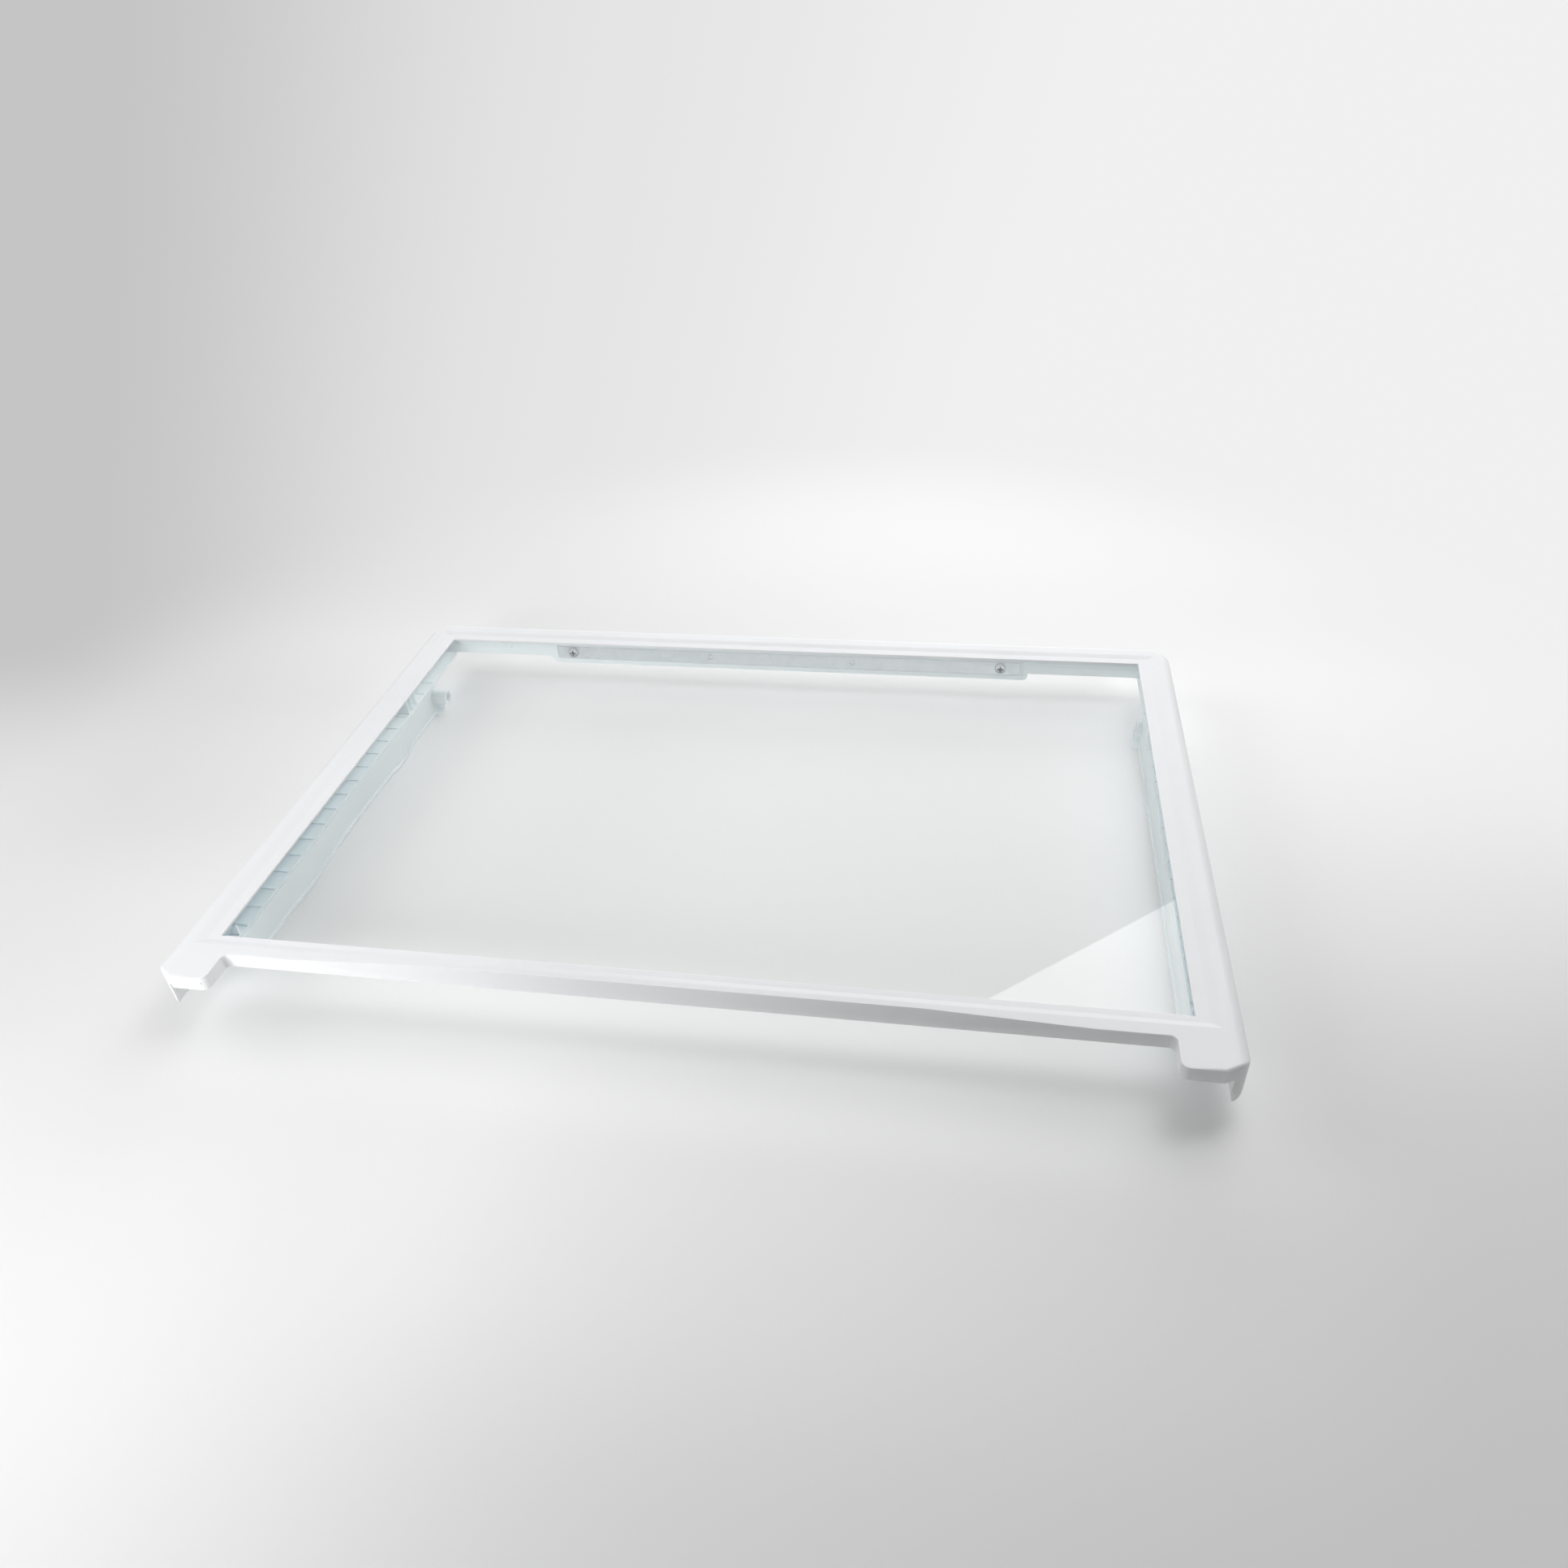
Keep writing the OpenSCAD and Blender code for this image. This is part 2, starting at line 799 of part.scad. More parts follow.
// Right-hand rail with a boss of the given length
module rail(boss_l) {
    plate_out = half_w - runner_w + tongue_in;
    low = edge_h - rail_low;
    hook_in = rail_face - hook_reach;
    hook_out = rail_face + web_t / 2;
    difference() {
        union() {
            // Plate under the channel floor, with its outer edge in the runner's groove
            block(
                [rail_face, rail_front, floor_low - rail_plate_t],
                [plate_out, rail_rear, floor_low]
            );
            intersection() {
                run_y(rail_front, rail_rear)
                    web_section();
                run_x(rail_face - 1, rail_face + web_t + 1)
                    rail_outline();
            }
            // Rim along the lower edge
            run_x(rail_face - rail_rim_w, rail_face + web_t / 2)
                difference() {
                    rail_outline();
                    translate([0, rail_rim_h])
                        rail_outline();
                    translate([rail_front - 1, floor_low - 2 * rail_rim_h])
                        square([rail_l + 2, 3 * rail_rim_h]);
                }
            // Boss at the rear
            translate([rail_face - boss_l, boss_y, boss_z])
                rotate([0, 90, 0])
                    cylinder(d = boss_d, h = boss_l + web_t);
            // Hook under the boss and the rib above it
            block([hook_in, hook_front, low], [hook_out, hook_rear, low + hook_t]);
            block([hook_in, hook_rear - hook_rib_t, low], [hook_out, hook_rear, boss_z]);
        }
        translate([rail_face - boss_l - 1, boss_y, boss_z])
            rotate([0, 90, 0])
                cylinder(d = boss_bore_d, h = boss_l + 1 + web_t / 2);
    }
}

module rail_left() {
    color([0.82, 0.87, 0.92, 0.8])
        translate([0, 0, deck_z])
            mirror([1, 0, 0])
                rail(boss_left_l);
}

module rail_right() {
    color([0.82, 0.87, 0.92, 0.8])
        translate([0, 0, deck_z])
            rail(boss_right_l);
}

frame();
glass_pane();
stiffener_strip();
screw_left();
screw_right();
rail_left();
rail_right();
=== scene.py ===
import math
import bmesh
import bpy
from mathutils import Matrix, Vector
from mathutils.bvhtree import BVHTree
from mathutils.geometry import intersect_point_line

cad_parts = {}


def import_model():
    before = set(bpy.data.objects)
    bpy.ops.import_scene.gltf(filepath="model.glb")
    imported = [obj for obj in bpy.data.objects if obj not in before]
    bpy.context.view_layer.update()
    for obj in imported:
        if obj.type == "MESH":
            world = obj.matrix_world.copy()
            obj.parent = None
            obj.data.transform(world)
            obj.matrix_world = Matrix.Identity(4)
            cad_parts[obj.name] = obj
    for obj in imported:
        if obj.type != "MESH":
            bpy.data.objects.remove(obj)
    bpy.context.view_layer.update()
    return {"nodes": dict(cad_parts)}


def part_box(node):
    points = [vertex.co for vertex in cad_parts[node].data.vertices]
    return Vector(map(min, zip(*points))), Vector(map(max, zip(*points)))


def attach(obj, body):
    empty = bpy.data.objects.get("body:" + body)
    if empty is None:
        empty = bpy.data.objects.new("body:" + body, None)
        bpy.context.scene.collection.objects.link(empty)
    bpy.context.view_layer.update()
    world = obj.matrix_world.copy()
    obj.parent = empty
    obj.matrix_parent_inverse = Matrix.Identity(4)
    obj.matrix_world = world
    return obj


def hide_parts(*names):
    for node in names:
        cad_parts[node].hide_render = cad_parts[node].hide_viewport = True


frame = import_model()
nodes = frame["nodes"]

# Places in the frame that several sections use, in metres
FRAME_LOW, FRAME_HIGH = (Vector(v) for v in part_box("frame"))
PANE_LOW, PANE_HIGH = (Vector(v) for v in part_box("glass_pane"))
STRIP_LOW, STRIP_HIGH = (Vector(v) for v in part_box("stiffener_strip"))
SCREW_LOW, SCREW_HIGH = (Vector(v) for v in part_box("screw_left"))
SCREW_MIDDLE = (SCREW_LOW + SCREW_HIGH) / 2.0
HOLE_ASIDE = 0.063


# Camera

def make_camera():
    data = bpy.data.cameras.new("camera")
    data.sensor_width = 36.0
    data.lens = 26.363
    data.clip_start = 0.01
    data.clip_end = 80.0
    cam = bpy.data.objects.new("camera", data)
    bpy.context.scene.collection.objects.link(cam)
    right = Vector((0.985788, 0.159949, -0.05137))
    down = Vector((0.054337, -0.59292, -0.803426))
    ahead = Vector((-0.158965, 0.789217, -0.593184))
    turn = Matrix((right, -down, -ahead)).transposed()
    cam.matrix_world = Matrix.Translation(Vector((0.1683, -0.6537, 0.5440))) @ turn.to_4x4()
    bpy.context.scene.camera = cam


# Node helpers

class Sheet:
    """A material's or a world's node tree, with short calls for the nodes used here."""

    def __init__(self, name, tree=None):
        if tree is None:
            self.mat = bpy.data.materials.new(name)
            self.mat.use_nodes = True
            tree = self.mat.node_tree
            tree.nodes.clear()
            self.out = tree.nodes.new("ShaderNodeOutputMaterial")
        self.tree = tree

    def node(self, kind, **values):
        n = self.tree.nodes.new(kind)
        for key, value in values.items():
            setattr(n, key, value)
        return n

    def feed(self, socket, value):
        """Links a socket, or sets a plain number or colour on it."""
        if isinstance(value, bpy.types.NodeSocket):
            self.tree.links.new(value, socket)
        elif isinstance(value, tuple) and len(value) == 3 and socket.type == "RGBA":
            socket.default_value = (*value, 1.0)
        else:
            socket.default_value = value

    def place(self, stretch=(1.0, 1.0, 1.0)):
        """Object coordinates in metres, scaled along each axis."""
        at = self.node("ShaderNodeTexCoord").outputs["Object"]
        if stretch == (1.0, 1.0, 1.0):
            return at
        n = self.node("ShaderNodeMapping")
        n.inputs["Scale"].default_value = stretch
        self.feed(n.inputs["Vector"], at)
        return n.outputs["Vector"]

    def noise(self, where, scale, detail=2.0, rough=0.5):
        n = self.node("ShaderNodeTexNoise")
        for key, value in (("Scale", scale), ("Detail", detail), ("Roughness", rough), ("Vector", where)):
            self.feed(n.inputs[key], value)
        return n.outputs["Fac"]

    def math(self, kind, a, b=0.0, clamp=False):
        n = self.node("ShaderNodeMath", operation=kind, use_clamp=clamp)
        self.feed(n.inputs[0], a)
        self.feed(n.inputs[1], b)
        return n.outputs[0]

    def spread(self, value, low, high, from_low=0.25, from_high=0.75):
        """Eases from low to high while the value runs over its own range, with no kink at either end."""
        n = self.node("ShaderNodeMapRange", interpolation_type="SMOOTHSTEP")
        for key, number in (("From Min", from_low), ("From Max", from_high), ("To Min", low), ("To Max", high)):
            n.inputs[key].default_value = number
        self.feed(n.inputs["Value"], value)
        return n.outputs["Result"]

    def blend(self, value, a, b):
        n = self.node("ShaderNodeMix", data_type="RGBA")
        self.feed(n.inputs["Factor"], value)
        self.feed(n.inputs["A"], a)
        self.feed(n.inputs["B"], b)
        return n.outputs["Result"]

    def axes(self, where):
        n = self.node("ShaderNodeSeparateXYZ")
        self.feed(n.inputs[0], where)
        return n.outputs

    def bump(self, height, strength, distance, normal=None):
        n = self.node("ShaderNodeBump")
        n.inputs["Strength"].default_value = strength
        n.inputs["Distance"].default_value = distance
        self.feed(n.inputs["Height"], height)
        if normal is not None:
            self.feed(n.inputs["Normal"], normal)
        return n.outputs["Normal"]

    def principled(self, **values):
        n = self.node("ShaderNodeBsdfPrincipled")
        for key, value in values.items():
            self.feed(n.inputs[key.replace("_", " ")], value)
        return n

    def finish(self, shader):
        self.feed(self.out.inputs["Surface"], shader)
        return self.mat


# Materials

def near_box(s, at, centre, half, soft):
    """1 inside an upright box round a point, falling to 0 over a soft border."""
    inside = None
    for axis, mid, reach in zip(s.axes(at), centre, half):
        off = s.math("ABSOLUTE", s.math("SUBTRACT", axis, mid))
        part = s.spread(off, 1.0, 0.0, reach, reach + soft)
        inside = part if inside is None else s.math("MULTIPLY", inside, part)
    return inside


def off_axis(s, across, up, aside):
    """Distance from the nearer of two axes that run front to rear at the screws' height."""
    x = s.math("SUBTRACT", s.math("ABSOLUTE", across), aside)
    z = s.math("SUBTRACT", up, SCREW_MIDDLE.z)
    return s.math("SQRT", s.math("ADD", s.math("MULTIPLY", x, x), s.math("MULTIPLY", z, z)))


def white_plastic():
    """Moulded white plastic. Below the pane its colour holds painted light: a cyan tint for the light that the
    glass tints, lighter toward the rear wall.
    """
    s = Sheet("moulded_white_plastic")
    at = s.place()
    tone = s.spread(s.noise(at, 9.0, 3.0), 0.0, 1.0)
    open_air = s.blend(tone, (0.805, 0.812, 0.825), (0.835, 0.842, 0.852))
    across, depth, height = s.axes(at)
    # Painted light below the pane: a cyan tint for the glass's light, growing lighter toward the rear wall
    inside = s.blend(s.spread(depth, 0.0, 1.0, -0.16, 0.20), (0.76, 0.85, 0.885), (0.875, 0.94, 0.965))
    painted_glass_light = s.blend(s.math("MULTIPLY", tone, 0.04), inside, (0.5, 0.5, 0.5))
    below = s.spread(height, 1.0, 0.0, PANE_LOW.z - 0.002, PANE_LOW.z + 0.001)
    within = near_box(s, at, (0.0, 0.0115, 0.0), (0.3245, 0.2065, 1.0), 0.001)
    colour = s.blend(s.math("MULTIPLY", below, within), open_air, painted_glass_light)
    # Shade in the two open bores behind the strip
    bore = s.math(
        "MULTIPLY", s.spread(off_axis(s, across, height, HOLE_ASIDE), 1.0, 0.0, 0.0048, 0.0051),
        s.spread(depth, 0.0, 1.0, STRIP_HIGH.y + 0.0002, STRIP_HIGH.y + 0.0012),
    )
    colour = s.blend(bore, colour, (0.16, 0.17, 0.17))
    # Smudge of dirt on the inner rear wall, left of the strip
    smudge_at = (STRIP_LOW.x - 0.047, STRIP_LOW.y, STRIP_HIGH.z + 0.001)
    smudge = near_box(s, at, smudge_at, (0.003, 0.012, 0.004), 0.003)
    grains = s.spread(s.noise(at, 1500.0, 2.0), 0.0, 1.0, 0.56, 0.66)
    colour = s.blend(s.math("MULTIPLY", smudge, s.math("MULTIPLY", grains, 0.45)), colour, (0.42, 0.43, 0.42))
    # Handling marks: faint streaks along the border that change only the gloss
    streaks = s.noise(s.place((60.0, 900.0, 200.0)), 1.0, 3.0, 0.6)
    gloss = s.math("ADD", s.spread(s.noise(at, 60.0, 3.0), 0.30, 0.40), s.spread(streaks, 0.0, 0.07, 0.55, 0.75))
    grain = s.bump(s.noise(at, 1800.0, 2.0), 0.08, 0.0001)
    sink = s.bump(s.noise(at, 28.0, 1.0), 0.25, 0.0006, grain)
    p = s.principled(
        Base_Color=colour, Roughness=gloss, Normal=sink, IOR=1.49,
        Subsurface_Weight=0.5, Subsurface_Radius=(1.0, 1.0, 1.0), Subsurface_Scale=0.002,
    )
    return s.finish(p.outputs[0])


def clear_glass():
    """Float glass. Light that only passes through on its way to another surface goes straight."""
    s = Sheet("clear_glass")
    at = s.place()
    tone = s.spread(s.noise(at, 4.0, 1.0), 0.0, 1.0)
    smears = s.noise(s.place((14.0, 40.0, 1.0)), 1.0, 4.0, 0.6)
    p = s.principled(
        Base_Color=s.blend(tone, (0.985, 0.993, 0.991), (0.99, 0.996, 0.994)),
        Roughness=s.spread(smears, 0.008, 0.03, 0.5, 0.8),
        IOR=1.5,
        Transmission_Weight=1.0,
    )
    clear = s.node("ShaderNodeBsdfTransparent")
    clear.inputs["Color"].default_value = (0.955, 0.965, 0.963, 1.0)
    path = s.node("ShaderNodeLightPath")
    passing = s.math("MAXIMUM", path.outputs["Is Shadow Ray"], path.outputs["Is Diffuse Ray"])
    mix = s.node("ShaderNodeMixShader")
    s.feed(mix.inputs[0], passing)
    s.feed(mix.inputs[1], p.outputs[0])
    s.feed(mix.inputs[2], clear.outputs[0])
    return s.finish(mix.outputs[0])


def galvanised_steel():
    """Zinc-coated sheet: faint crystals, rolling lines along its length and a few dull spots."""
    s = Sheet("galvanised_steel")
    at = s.place()
    cells = s.node("ShaderNodeTexVoronoi")
    s.feed(cells.inputs["Scale"], 220.0)
    s.feed(cells.inputs["Vector"], at)
    split = s.node("ShaderNodeSeparateColor")
    s.feed(split.inputs["Color"], cells.outputs["Color"])
    sheet = s.blend(split.outputs["Red"], (0.715, 0.76, 0.78), (0.76, 0.80, 0.815))
    spots = s.spread(s.noise(at, 90.0, 4.0, 0.65), 0.0, 0.35, 0.58, 0.75)
    rolled = s.noise(s.place((20.0, 400.0, 1400.0)), 1.0, 3.0)
    p = s.principled(
        Metallic=1.0,
        Base_Color=s.blend(spots, sheet, (0.55, 0.58, 0.59)),
        Roughness=s.math("ADD", s.spread(s.noise(at, 140.0, 3.0), 0.36, 0.48), s.spread(rolled, 0.0, 0.06)),
        Normal=s.bump(rolled, 0.12, 0.0001),
    )
    return s.finish(p.outputs[0])


def zinc_screw():
    s = Sheet("zinc_plated_screw")
    at = s.place()
    across, depth, up = s.axes(at)
    out = off_axis(s, across, up, abs(SCREW_MIDDLE.x))
    above = s.math("SUBTRACT", up, SCREW_MIDDLE.z)
    # Painted shade in the cross recess, and painted shade on the lower side of the head
    painted_recess_shade = s.math(
        "MULTIPLY", s.spread(out, 1.0, 0.0, 0.0026, 0.0032),
        s.spread(depth, 0.0, 1.0, SCREW_LOW.y + 0.0003, SCREW_LOW.y + 0.0010),
    )
    # Painted shade: the head is darker below its middle and lighter above
    painted_light_from_above = s.spread(above, 0.0, 1.0, -0.004, 0.003)
    plated = s.blend(s.noise(at, 500.0, 3.0), (0.60, 0.62, 0.64), (0.74, 0.76, 0.78))
    painted_shaded_plating = s.blend(painted_light_from_above, (0.30, 0.31, 0.32), plated)
    p = s.principled(
        Metallic=1.0,
        Base_Color=s.blend(painted_recess_shade, painted_shaded_plating, (0.12, 0.13, 0.14)),
        Roughness=s.spread(s.noise(at, 900.0, 2.0), 0.17, 0.26),
        Normal=s.bump(s.noise(at, 1600.0, 2.0), 0.1, 0.0001),
    )
    return s.finish(p.outputs[0])


def milky_plastic():
    s = Sheet("milky_plastic")
    at = s.place()
    tone = s.spread(s.noise(at, 14.0, 2.0), 0.0, 1.0)
    flow = s.noise(s.place((40.0, 12.0, 120.0)), 1.0, 3.0)
    p = s.principled(
        Base_Color=s.blend(tone, (0.725, 0.795, 0.815), (0.775, 0.84, 0.86)),
        Roughness=s.math("ADD", s.spread(s.noise(at, 80.0, 3.0), 0.29, 0.36), s.spread(flow, 0.0, 0.06)),
        Normal=s.bump(s.noise(at, 300.0, 2.0), 0.03, 0.0001),
        IOR=1.49,
        Subsurface_Weight=0.7,
        Subsurface_Radius=(1.0, 1.05, 1.1),
        Subsurface_Scale=0.006,
    )
    return s.finish(p.outputs[0])


# Pieces: each rigid part again, with its edges broken as the real mould or press leaves them

SHARP = math.radians(34.0)
CREASE = math.radians(8.0)
CREASE_ROOM = 0.0035
FLAT = math.radians(0.3)
FOLDED = math.radians(140.0)
END_PIECE = 0.004
SPECK = 1e-9
MOST_TRIES = 12
SMOOTH_TURN = math.radians(47.0)

# Outline of the right ear in plan: front, slanted facet and the arc that joins it to the side
EAR_IN = 0.2939
FACET_START = Vector((FRAME_HIGH.x - 0.015, FRAME_LOW.y, 0.0))
FACET_OUT = Vector((math.cos(math.radians(60.0)), -math.sin(math.radians(60.0)), 0.0))
CORNER_R = 0.016
CORNER_X = FRAME_HIGH.x - CORNER_R
CORNER_Y = FRAME_LOW.y + 0.017898
CREST_R = 0.008
BALL_LOW = 0.0006
BALL_HIGH = 0.0021
NEARLY_FLUSH = 0.97
EAR_REAR = CORNER_Y + 0.0005
EAR_LOW = FRAME_HIGH.z - 0.0115
NEAR_EDGE = [0.00015, 0.0003, 0.00045, 0.0006, 0.0008, 0.001, 0.0013, 0.0016, 0.002, 0.0025, 0.003]
CUTS_X = [EAR_IN + 0.003 * i for i in range(1, 6)] + [FACET_START.x + 0.0005 * i for i in range(30)]
CUTS_Y = [FRAME_LOW.y + d for d in NEAR_EDGE] + [FRAME_LOW.y + 0.0035 + 0.0005 * i for i in range(29)]
CUTS_Z = [FRAME_HIGH.z - d for d in NEAR_EDGE] + [FRAME_HIGH.z - 0.0035 - 0.0005 * i for i in range(15)]


def clearance(face, edge):
    """The least room that a face has beside one of its edges, measured square to that edge."""
    loop = next(k for k in face.loops if k.edge is edge)
    start = loop.vert.co
    along = (loop.link_loop_next.vert.co - start).normalized()
    inward = face.normal.cross(along)
    length = edge.calc_length()
    room = []
    for k in face.loops:
        if set(k.edge.verts) & set(edge.verts):
            continue
        ends = [v.co - start for v in (k.vert, k.link_loop_next.vert)]
        (pu, pv), (qu, qv) = ((e.dot(along), e.dot(inward)) for e in ends)
        room += [v for u, v in ((pu, pv), (qu, qv)) if 0.0 <= u <= length]
        room += [pv + (u - pu) / (qu - pu) * (qv - pv) for u in (0.0, length) if (pu - u) * (qu - u) < 0.0]
    return min((v for v in room if v > 0.0), default=1.0)


def worth_rounding(edge, width):
    """True for a sharp edge with room for the rounding, and for a shallow crease between wide faces."""
    turn = edge.calc_face_angle()
    if turn < CREASE:
        return False
    room = min(clearance(f, edge) for f in edge.link_faces)
    return room > (2.2 * width if turn > SHARP else CREASE_ROOM)


def whole_faces(bm):
    """Joins the flat triangles into whole faces and cuts long edges near both ends."""
    bmesh.ops.dissolve_limit(
        bm, angle_limit=FLAT, use_dissolve_boundaries=False, verts=bm.verts[:], edges=bm.edges[:]
    )
    for edge in [e for e in bm.edges if e.calc_length() > 3.0 * END_PIECE and e.calc_face_angle() > SHARP]:
        start, end = edge.verts
        length = edge.calc_length()
        _, cut = bmesh.utils.edge_split(edge, start, END_PIECE / length)
        rest = next(e for e in cut.link_edges if end in e.verts)
        bmesh.utils.edge_split(rest, end, END_PIECE / (length - END_PIECE))


def in_triangles(bm):
    bmesh.ops.triangulate(bm, faces=bm.faces[:], quad_method="BEAUTY", ngon_method="EAR_CLIP")


def reach(span, point):
    """Distance from a point to the line between two others."""
    at, share = intersect_point_line(point, *span)
    return (span[0].lerp(span[1], min(max(share, 0.0), 1.0)) - point).length


def faults(bm, skin, width):
    """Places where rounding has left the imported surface, turned a face over or folded it."""
    places = []
    for face in bm.faces:
        if face.calc_area() < SPECK:
            continue
        centre = face.calc_center_median()
        near = skin.find_nearest_range(centre, 0.7 * width)
        if max((face.normal.dot(turn) for _, turn, _, _ in near), default=-1.0) < 0.45:
            places.append((centre, [v.co.copy() for v in face.verts]))
    for edge in bm.edges:
        small = min(f.calc_area() for f in edge.link_faces) < SPECK
        if not small and (not edge.is_manifold or edge.calc_face_angle(0.0) > FOLDED):
            ends = [v.co.copy() for v in edge.verts]
            places.append(((ends[0] + ends[1]) / 2.0, ends))
    return places


def over_crest(x, z):
    """Distance above the border's top or its round-over, with the direction away from it."""
    out = x - (FRAME_HIGH.x - CREST_R)
    up = z - (FRAME_HIGH.z - CREST_R)
    if out <= 0.0:
        return up - CREST_R, Vector((0.0, 0.0, 1.0))
    away = Vector((out, 0.0, max(up, 0.0)))
    return away.length - CREST_R, away.normalized()


def past_wall(x, y):
    """Distance past the ear's upright wall, with the direction away from it."""
    arm = Vector((x - CORNER_X, y - CORNER_Y, 0.0))
    if arm.y >= 0.0:
        return x - FRAME_HIGH.x, Vector((1.0, 0.0, 0.0))
    if arm.normalized().x > FACET_OUT.x:
        return arm.length - CORNER_R, arm.normalized()
    facet = FACET_OUT.dot(Vector((x, y, 0.0)) - FACET_START)
    front = FRAME_LOW.y - y
    return (front, Vector((0.0, -1.0, 0.0))) if front > facet else (facet, FACET_OUT)


def ball_offset(p):
    """Offset of a point from a ball that rolls inside the ear's upper edge, or None away from that edge."""
    share = min(max((p.x - EAR_IN) / (FACET_START.x - EAR_IN), 0.0), 1.0)
    ball = BALL_LOW + (BALL_HIGH - BALL_LOW) * share * share * (3.0 - 2.0 * share)
    (top, top_out), (wall, wall_out) = over_crest(p.x, p.z), past_wall(p.x, p.y)
    both = top_out.dot(wall_out)
    a = (top + ball) - both * (wall + ball)
    b = (wall + ball) - both * (top + ball)
    if both > NEARLY_FLUSH or min(a, b) <= 0.0:
        return None, ball
    return (a * top_out + b * wall_out) / (1.0 - both * both), ball


def ear_faces(bm, side):
    """The outer faces of one ear's upper part."""
    found = []
    for f in bm.faces:
        middle = f.calc_center_median()
        middle.x *= side
        if middle.x < EAR_IN or middle.y > EAR_REAR or middle.z < EAR_LOW:
            continue
        if max(over_crest(middle.x, middle.z)[0], past_wall(middle.x, middle.y)[0]) > -0.0003:
            found.append(f)
    return found


def cut(bm, faces, axis, place):
    parts = {v for f in faces for v in f.verts} | {e for f in faces for e in f.edges} | set(faces)
    plane_at, plane_out = Vector(), Vector()
    plane_at[axis], plane_out[axis] = place, 1.0
    bmesh.ops.bisect_plane(bm, geom=list(parts), dist=2e-5, plane_co=plane_at, plane_no=plane_out)


def round_ears(bm):
    """Rounds the upper edge of both ears. The rounding grows toward the outer corner."""
    for side in (-1.0, 1.0):
        for axis, place in ((1, EAR_REAR), (0, side * EAR_IN), (2, EAR_LOW)):
            wide = [f for f in bm.faces if side * f.calc_center_median().x > 0.0]
            cut(bm, wide, axis, place)
        for axis, places in ((0, [side * x for x in CUTS_X]), (1, CUTS_Y), (2, CUTS_Z)):
            for place in places:
                cut(bm, ear_faces(bm, side), axis, place)
    for v in bm.verts:
        if abs(v.co.x) < EAR_IN or v.co.y > EAR_REAR:
            continue
        for _ in range(3):
            off, ball = ball_offset(Vector((abs(v.co.x), v.co.y, v.co.z)))
            if off is None or off.length <= ball:
                break
            step = off * (1.0 - ball / off.length)
            v.co -= Vector((step.x if v.co.x > 0.0 else -step.x, step.y, step.z))


def softened(name, material, width):
    """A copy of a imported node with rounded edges. Where an edge can't be rounded cleanly it stays sharp."""
    base = bmesh.new()
    base.from_mesh(nodes[name].data)
    bmesh.ops.remove_doubles(base, verts=base.verts[:], dist=1e-6)
    skin = BVHTree.FromBMesh(base)
    whole_faces(base)
    base.edges.index_update()
    spans = {
        e.index: tuple(v.co.copy() for v in e.verts) for e in base.edges
        if worth_rounding(e, width)
    }
    for _ in range(MOST_TRIES):
        bm = base.copy()
        bm.edges.ensure_lookup_table()
        bmesh.ops.bevel(
            bm, geom=[bm.edges[i] for i in spans], offset=width, offset_type="OFFSET", segments=2,
            profile=0.5, affect="EDGES", clamp_overlap=False, face_strength_mode="ALL",
        )
        bmesh.ops.dissolve_degenerate(bm, dist=2e-6, edges=bm.edges[:])
        tried = bm.copy()
        in_triangles(tried)
        kept = len(spans)
        for centre, corners in faults(tried, skin, width):
            close = [i for i, span in spans.items() if reach(span, centre) < 2.5 * width]
            if not close:
                close = [i for i, span in spans.items() if min(reach(span, c) for c in corners) < 1.5 * width]
            for i in close:
                del spans[i]
        tried.free()
        if len(spans) == kept:
            break
        bm.free()
    base.free()
    if name == "frame":
        round_ears(bm)
    in_triangles(bm)
    for f in bm.faces:
        f.smooth = True
        f.material_index = 0
    for e in bm.edges:
        e.smooth = e.calc_face_angle(0.0) < SMOOTH_TURN
    mesh = bpy.data.meshes.new(name + "_finished")
    bm.to_mesh(mesh)
    bm.free()
    mesh.attributes.remove(mesh.attributes["custom_normal"])
    mesh.materials.append(material)
    piece = bpy.data.objects.new(name + "_finished", mesh)
    bpy.context.scene.collection.objects.link(piece)
    weigh = piece.modifiers.new("weighted", "WEIGHTED_NORMAL")
    weigh.keep_sharp = True
    weigh.use_face_influence = True
    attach(piece, "root")
    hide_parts(name)
    return piece


# Floor, background and light

BACKDROP = (0.83, 0.83, 0.83)
FLOOR_TONE = 0.88


def grey(level):
    return (level, level, level)


def painted_backdrop_light(s, x, y):
    """Painted light on the backdrop, shown as a glow: dim at the far left, bright at the far right, grey at the
    near right.
    """
    side = s.math("DIVIDE", x, s.math("MAXIMUM", s.math("ADD", y, 0.8), 0.3))
    rear = s.blend(s.spread(side, 0.0, 1.0, -0.72, -0.26), grey(0.556), grey(0.78))
    rear = s.blend(s.spread(side, 0.0, 1.0, -0.30, 0.12), rear, grey(0.872))
    near = s.blend(s.spread(x, 0.0, 1.0, -0.22, 0.40), grey(0.88), grey(0.545))
    y_left = s.math("ADD", y, s.math("MULTIPLY", s.math("MINIMUM", x, 0.0), 0.15))
    return s.blend(s.spread(y_left, 1.0, 0.0, -0.22, 0.12), rear, near)


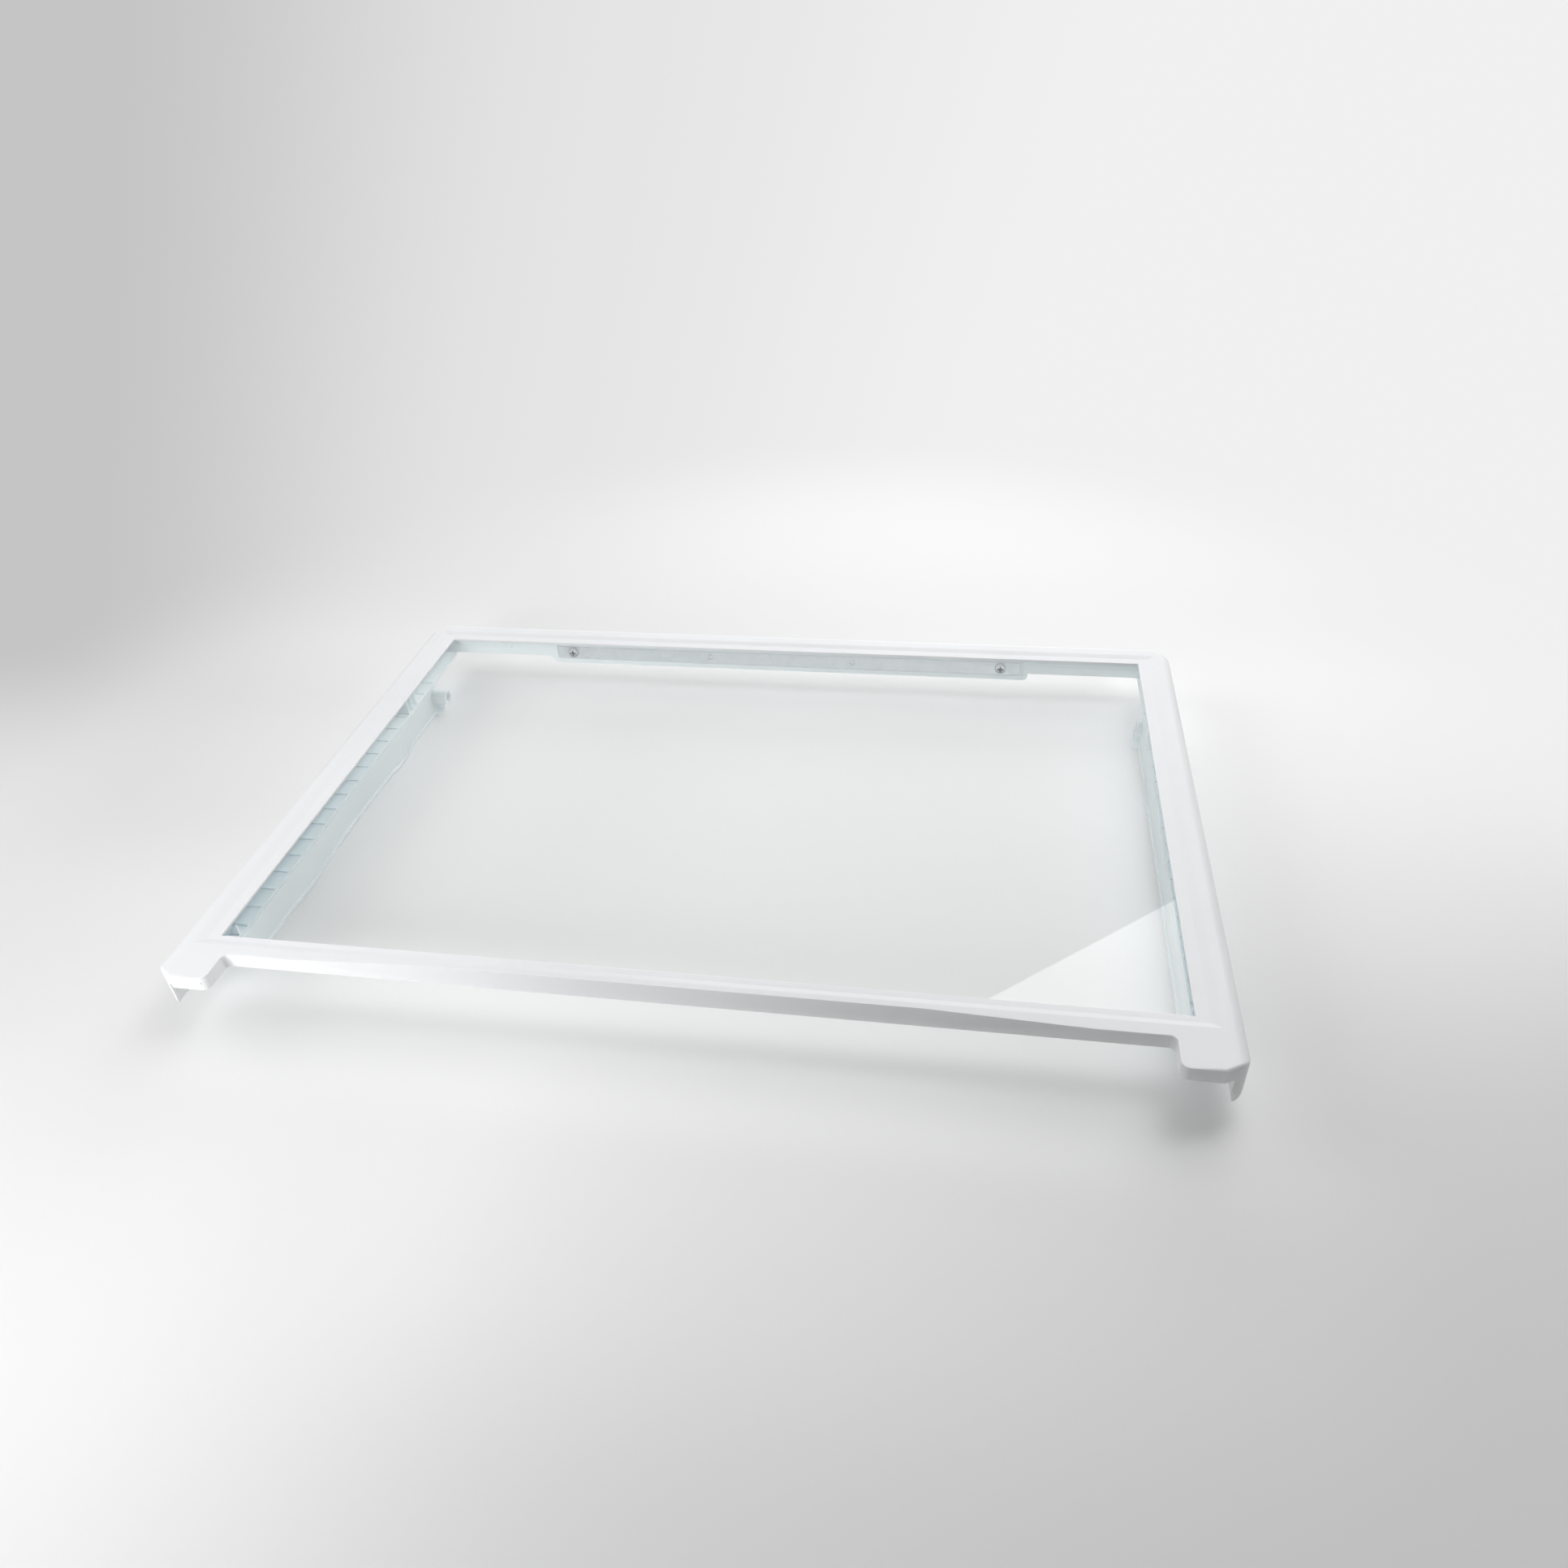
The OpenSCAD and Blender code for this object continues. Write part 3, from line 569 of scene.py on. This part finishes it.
def painted_floor_light(s, at, x, y):
    """Painted light and shadow on the floor, as a share of its full tone: the light falls off to the near right,
    the near left and far behind, painted shadow lies behind the rear beam and beside the left side, and the
    middle, the front and the far right are painted a little lighter.
    """
    toward = s.spread(y, 1.0, 0.0, -0.25, 0.12)
    right = s.math("MULTIPLY", toward, s.spread(x, 0.0, 0.12, 0.08, 0.42))
    left = s.math("MULTIPLY", toward, s.spread(x, 0.14, 0.0, -0.38, -0.08))
    behind = s.spread(y, 0.0, 0.07, 0.18, 0.45)
    rear = s.math("MULTIPLY", near_box(s, at, (-0.03, 0.245, 0.0), (0.30, 0.012, 1.0), 0.03), 0.10)
    beside = s.math("MULTIPLY", near_box(s, at, (-0.46, 0.08, 0.0), (0.04, 0.07, 1.0), 0.14), 0.08)
    share = 0.95
    for part in (right, left, behind, rear, beside):
        share = s.math("SUBTRACT", share, part)
    middle = near_box(s, at, (0.12, 0.03, 0.0), (0.10, 0.08, 1.0), 0.16)
    far_right = near_box(s, at, (0.50, 0.10, 0.0), (0.10, 0.15, 1.0), 0.15)
    front = near_box(s, at, (0.12, -0.30, 0.0), (0.20, 0.05, 1.0), 0.12)
    share = s.math("ADD", share, s.math("MULTIPLY", middle, 0.05))
    share = s.math("ADD", share, s.math("MULTIPLY", front, 0.05))
    return s.math("ADD", share, s.math("MULTIPLY", far_right, 0.04))


def floor():
    """A wide pale floor. Far from the object it glows with the painted backdrop light, so no horizon is seen."""
    size = 70.0
    mesh = bpy.data.meshes.new("floor")
    mesh.from_pydata([(-size, -size, 0), (size, -size, 0), (size, size, 0), (-size, size, 0)], [], [(0, 1, 2, 3)])
    obj = bpy.data.objects.new("floor", mesh)
    bpy.context.scene.collection.objects.link(obj)
    s = Sheet("studio_floor")
    at = s.place()
    x, y, _ = s.axes(at)
    full = s.blend(s.noise(at, 1.5), grey(FLOOR_TONE - 0.01), grey(FLOOR_TONE + 0.01))
    # Painted light and shadow in the floor's colour
    colour = s.blend(painted_floor_light(s, at, x, y), grey(0.0), full)
    p = s.principled(Base_Color=colour, Roughness=0.6)
    glow = s.node("ShaderNodeEmission")
    s.feed(glow.inputs["Color"], painted_backdrop_light(s, x, y))
    away = s.node("ShaderNodeVectorMath", operation="LENGTH")
    s.feed(away.inputs[0], at)
    far = s.spread(away.outputs["Value"], 0.0, 1.0, 0.4, 0.85)
    path = s.node("ShaderNodeLightPath")
    seen = s.math("MAXIMUM", path.outputs["Is Camera Ray"], path.outputs["Is Glossy Ray"])
    seen = s.math("MAXIMUM", seen, path.outputs["Is Transmission Ray"])
    mix = s.node("ShaderNodeMixShader")
    s.feed(mix.inputs[0], s.math("MULTIPLY", far, seen))
    s.feed(mix.inputs[1], p.outputs[0])
    s.feed(mix.inputs[2], glow.outputs[0])
    mesh.materials.append(s.finish(mix.outputs[0]))


def area_light(name, place, aim, size, power, mirrored=False, spread=180.0, shadow=True):
    """A soft panel that faces a point, or faces straight down when aim is its turn about Z in degrees."""
    data = bpy.data.lights.new(name, "AREA")
    data.shape = "RECTANGLE"
    data.size, data.size_y = size
    data.energy = power
    data.spread = math.radians(spread)
    data.use_shadow = shadow
    obj = bpy.data.objects.new(name, data)
    bpy.context.scene.collection.objects.link(obj)
    obj.location = place
    if isinstance(aim, tuple):
        obj.rotation_euler = (Vector(aim) - Vector(place)).to_track_quat("-Z", "Y").to_euler()
    else:
        obj.rotation_euler = (0.0, 0.0, math.radians(aim))
    obj.visible_camera = False
    obj.visible_glossy = mirrored
    obj.visible_transmission = mirrored


AMBIENT = 0.0925


def world():
    """Even light from all round. The camera, gloss and glass see the backdrop's tone instead."""
    w = bpy.data.worlds.new("studio")
    bpy.context.scene.world = w
    w.use_nodes = True
    s = Sheet("studio", w.node_tree)
    back = w.node_tree.nodes["Background"]
    back.inputs["Color"].default_value = (1.0, 1.0, 1.0, 1.0)
    back.inputs["Strength"].default_value = AMBIENT
    shown = s.node("ShaderNodeBackground")
    s.feed(shown.inputs["Color"], BACKDROP)
    shown.inputs["Strength"].default_value = 1.0
    path = s.node("ShaderNodeLightPath")
    seen = s.math("MAXIMUM", path.outputs["Is Camera Ray"], path.outputs["Is Glossy Ray"])
    seen = s.math("MAXIMUM", seen, path.outputs["Is Transmission Ray"])
    mix = s.node("ShaderNodeMixShader")
    s.feed(mix.inputs[0], seen)
    s.feed(mix.inputs[1], back.outputs[0])
    s.feed(mix.inputs[2], shown.outputs[0])
    s.feed(w.node_tree.nodes["World Output"].inputs["Surface"], mix.outputs[0])


# Name, place, point that it faces or turn about Z, size and power. Then whether glass mirrors it, its
# spread and whether it casts shadows: the fill lamps cast none, which keeps the other shadows shallow
LIGHTS = [
    ("sky", (0.0, 0.3, 2.4), (0.0, 0.0, 0.0), (3.2, 3.2), 3.9),
    ("panel_right", (0.918, 0.933, 1.6), 40.4, (1.6, 1.4), 11.8, True),
    ("top_right", (0.35, -0.02, 1.0), (0.2, 0.1, 0.0), (0.4, 0.36), 1.7),
    ("back", (0.2, 1.7, 0.8), (0.0, 0.1, 0.0), (1.6, 0.6), 6.8),
    ("left", (-1.6, 0.1, 1.0), (0.0, 0.0, 0.0), (1.0, 0.8), 8.0),
    ("left_front", (-0.50, -0.80, 0.35), (-0.40, -0.3, 0.0), (0.4, 0.4), 0.83, False, 100.0),
    ("left_front_far", (-0.45, -1.0, 0.35), (-0.35, -0.25, 0.0), (0.4, 0.4), 0.59, False, 60.0),
    ("fill_back", (0.2, 1.7, 0.9), (0.0, 0.0, 0.0), (1.6, 0.8), 17.7, False, 180.0, False),
    ("fill_right", (1.5, 0.9, 0.9), (0.0, 0.0, 0.0), (1.2, 1.0), 2.4, False, 180.0, False),
]


make_camera()

plastic = white_plastic()
milky = milky_plastic()
screw = zinc_screw()
softened("frame", plastic, 0.0006)
softened("rail_left", milky, 0.0004)
softened("rail_right", milky, 0.0004)
softened("stiffener_strip", galvanised_steel(), 0.00025)
softened("screw_left", screw, 0.0001)
softened("screw_right", screw, 0.0001)
for slot in nodes["glass_pane"].material_slots:
    slot.material = clear_glass()

floor()
world()
for light in LIGHTS:
    area_light(*light)

scene = bpy.context.scene
scene.view_settings.view_transform = "Standard"
